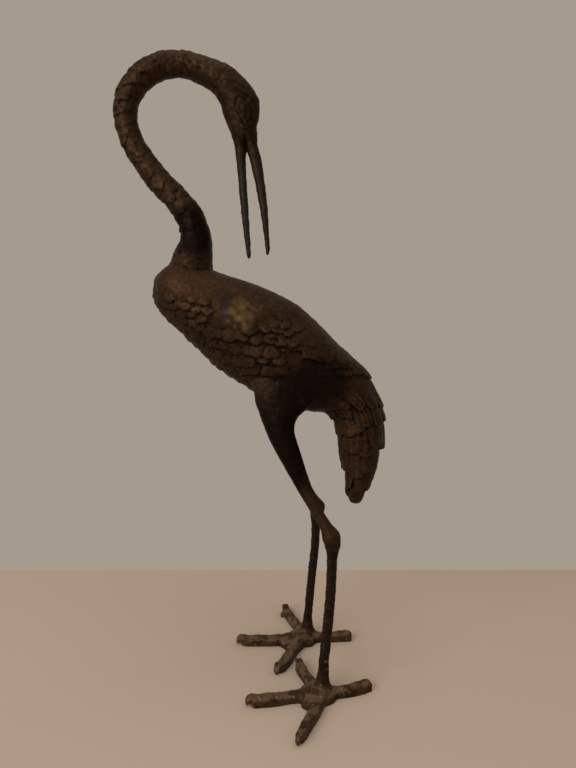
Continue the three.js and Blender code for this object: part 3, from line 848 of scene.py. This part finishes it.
def cast_heron():
    """The whole bird as one casting."""
    draw = random.Random(SEED)
    casting = bmesh.new()
    add_body(casting, draw)
    add_head_and_neck(casting, draw)
    add_bill(casting)
    for side in (-1, 1):
        add_eye(casting, side)
    for line, foot in ((LEFT_LEG, LEFT_FOOT), (RIGHT_LEG, RIGHT_FOOT)):
        add_leg(casting, line)
        add_foot(casting, foot)
    bmesh.ops.recalc_face_normals(casting, faces=casting.faces[:])
    mesh = bpy.data.meshes.new("heron_casting")
    casting.to_mesh(mesh)
    casting.free()
    write_points(mesh, (read_points(mesh) - BOX_MIDDLE) * MM)
    piece = bpy.data.objects.new("heron_casting", mesh)
    bpy.context.scene.collection.objects.link(piece)
    grain = GRAIN * 1 * MM
    apply_modifier(piece, "REMESH", mode="VOXEL", voxel_size=grain, adaptivity=0)
    keep_largest_shell(piece.data)
    apply_modifier(piece, "SMOOTH", factor=0.5, iterations=1)
    blend_forms(piece.data)
    carve_details(piece.data)
    triangles = 2 * len(piece.data.polygons)
    apply_modifier(piece, "DECIMATE", ratio=min(1, MOST_TRIANGLES / triangles))
    piece.data.polygons.foreach_set("use_smooth", [True] * len(piece.data.polygons))
    store_wear_and_painted_shade(piece.data)
    return piece


def add_node(tree, kind, links=None, **settings):
    """Adds a shader node, sets its values, and links its inputs by name or number."""
    made = tree.nodes.new(kind)
    for name, value in settings.items():
        setattr(made, name, value)
    for socket, source in (links or {}).items():
        if isinstance(source, bpy.types.NodeSocket):
            tree.links.new(source, made.inputs[socket])
        else:
            made.inputs[socket].default_value = source
    return made


def scale_range(tree, source, low, high, to_low=0.0, to_high=1.0):
    """A value spread smoothly from one range over another."""
    links = {"Value": source, "From Min": low, "From Max": high, "To Min": to_low, "To Max": to_high}
    return add_node(tree, "ShaderNodeMapRange", links, interpolation_type="SMOOTHSTEP").outputs["Result"]


def multiply(tree, first, second):
    """Two values multiplied."""
    return add_node(tree, "ShaderNodeMath", {0: first, 1: second}, operation="MULTIPLY").outputs[0]


def mix_colour(tree, factor, first, second):
    """Blend of two colours, each a socket or a red, green, blue value."""
    sockets = {0: factor, 6: first, 7: second}
    plain = {k: (*v, 1) if isinstance(v, tuple) else v for k, v in sockets.items()}
    return add_node(tree, "ShaderNodeMix", plain, data_type="RGBA").outputs[2]


def bronze_patina_and_painted_shade():
    """Dark brown bronze: near black in its hollows from patina and painted shade, with painted shade where it
    faces away from the lamp and in shaded places, browner where rubbed, dusty and limed at the feet.
    """
    material = bpy.data.materials.new("bronze_patina_and_painted_shade")
    material.use_nodes = True
    tree = material.node_tree
    shader = tree.nodes["Principled BSDF"]
    place = add_node(tree, "ShaderNodeTexCoord").outputs["Object"]

    def kept(name):
        """A value that the mesh keeps for each of its points."""
        return add_node(tree, "ShaderNodeAttribute", attribute_name=name).outputs["Fac"]

    def cloud(scale, detail):
        """Soft random clouds through the metal."""
        links = {"Vector": place, "Scale": scale, "Detail": detail}
        return add_node(tree, "ShaderNodeTexNoise", links).outputs["Fac"]

    def blend(factor, first, second):
        """One colour over another."""
        return mix_colour(tree, factor, first, second)

    def step(source, low, high, to_low=0.0, to_high=1.0):
        """One value spread over another range."""
        return scale_range(tree, source, low, high, to_low, to_high)

    large, middle, speck = cloud(34.0, 4.0), cloud(75.0, 3.0), cloud(230.0, 3.0)
    # Height above the ground, in metres
    height = add_node(tree, "ShaderNodeSeparateXYZ", {0: place}).outputs["Z"]
    crevice = kept("crevice")
    colour = blend(step(large, 0.35, 0.65), FINISH["dark brown"], FINISH["brown"])
    # Painted shade: what faces down and away from the lamp side is darker
    colour = blend(step(kept("faces_up_to_lamp"), -0.4, 0.6), FINISH["painted shade facing away"], colour)
    shin = multiply(tree, step(height, 0.2, 0.17), step(height, 0.015, 0.04))
    colour = blend(multiply(tree, shin, 0.85), colour, FINISH["shin"])
    colour = blend(step(crevice, -0.05, -0.4, 0, 0.35), colour, FINISH["worn edge"])
    # Painted shade: darker in the places of the side view that lie in shade
    colour = blend(multiply(tree, kept("painted_shade"), 0.92), colour, FINISH["painted_shade"])
    # Darker patina, and painted shade, in crevices and broad hollows
    colour = blend(step(crevice, 0.02, 0.25, 0, 0.9), colour, FINISH["crevice"])
    colour = blend(step(kept("hollow"), 0.1, 1.2, 0, 0.7), colour, FINISH["hollow"])
    for mark, share in (("rubbed", 0.65), ("smear", 0.65), ("bill", 0.6), ("verdigris", 0.8)):
        colour = blend(multiply(tree, kept(mark), share), colour, FINISH[mark])
    dust = multiply(tree, step(height, 0.022, 0.011), step(middle, 0.42, 0.56, 0.2, 1.0))
    dust = multiply(tree, dust, step(kept("faces_up_to_lamp"), -0.1, 0.75, 0.35, 1.0))
    colour = blend(dust, colour, FINISH["dust"])
    lime = multiply(tree, step(height, 0.12, 0.01), step(speck, 0.63, 0.74, 0, 0.55))
    colour = blend(lime, colour, FINISH["lime"])
    tree.links.new(colour, shader.inputs["Base Color"])
    tree.links.new(step(dust, 0, 1, 0.7, 0.1), shader.inputs["Metallic"])
    shader.inputs["Specular IOR Level"].default_value = 0.12
    tree.links.new(step(speck, 0.3, 0.7, 0.44, 0.62), shader.inputs["Roughness"])
    bump = add_node(tree, "ShaderNodeBump", {"Strength": 0.25, "Distance": 0.0004, "Height": speck})
    tree.links.new(bump.outputs["Normal"], shader.inputs["Normal"])
    return material


def floor_paper():
    """Plain matt pale paper."""
    material = bpy.data.materials.new("floor_paper")
    material.use_nodes = True
    shader = material.node_tree.nodes["Principled BSDF"]
    shader.inputs["Base Color"].default_value = (*FLOOR_COLOUR, 1)
    shader.inputs["Roughness"].default_value = 0.95
    shader.inputs["Specular IOR Level"].default_value = 0.1
    return material


def add_floor():
    """A plain flat floor."""
    bm = bmesh.new()
    bmesh.ops.create_grid(bm, x_segments=1, y_segments=1, size=0.5)
    mesh = bpy.data.meshes.new("floor")
    bm.to_mesh(mesh)
    bm.free()
    middle = [0, (FLOOR_FRONT + FLOOR_END) / 2, 0]
    size = [FLOOR_WIDTH, FLOOR_END - FLOOR_FRONT, 0]
    write_points(mesh, (read_points(mesh) * size + middle) * MM)
    mesh.materials.append(floor_paper())
    floor = bpy.data.objects.new("floor", mesh)
    bpy.context.scene.collection.objects.link(floor)


def add_lights():
    """One even pale tone all round, a large soft lamp from the front, and a weaker one from above."""
    world = bpy.data.worlds.new("room")
    bpy.context.scene.world = world
    world.use_nodes = True
    world.node_tree.nodes["Background"].inputs["Color"].default_value = (*ROOM_COLOUR, 1)
    world.node_tree.nodes["Background"].inputs["Strength"].default_value = ROOM_LIGHT

    for name, spot, aim, size, power in LAMPS:
        lamp = bpy.data.lights.new(name, "AREA")
        lamp.size = size
        lamp.energy = power
        lamp.color = LAMP_COLOUR
        light = bpy.data.objects.new(name, lamp)
        light.location = spot
        light.rotation_euler = (Vector(aim) - Vector(spot)).to_track_quat("-Z", "Y").to_euler()
        bpy.context.scene.collection.objects.link(light)


def add_camera():
    """The photograph's own view."""
    lens = bpy.data.cameras.new("camera")
    lens.sensor_width = FILM_HEIGHT
    lens.lens = FILM_HEIGHT * FOCAL_LENGTH / PHOTO_HEIGHT
    camera = bpy.data.objects.new("camera", lens)
    camera.location = (CAMERA_PLACE - BOX_MIDDLE) * MM
    camera.rotation_euler = (math.radians(90 - CAMERA_DIP), 0, 0)
    bpy.context.scene.collection.objects.link(camera)
    bpy.context.scene.camera = camera
    bpy.context.scene.view_settings.view_transform = "Standard"


add_floor()
add_lights()
add_camera()
heron = cast_heron()
heron.data.materials.append(bronze_patina_and_painted_shade())
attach(heron, "root")
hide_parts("heron")
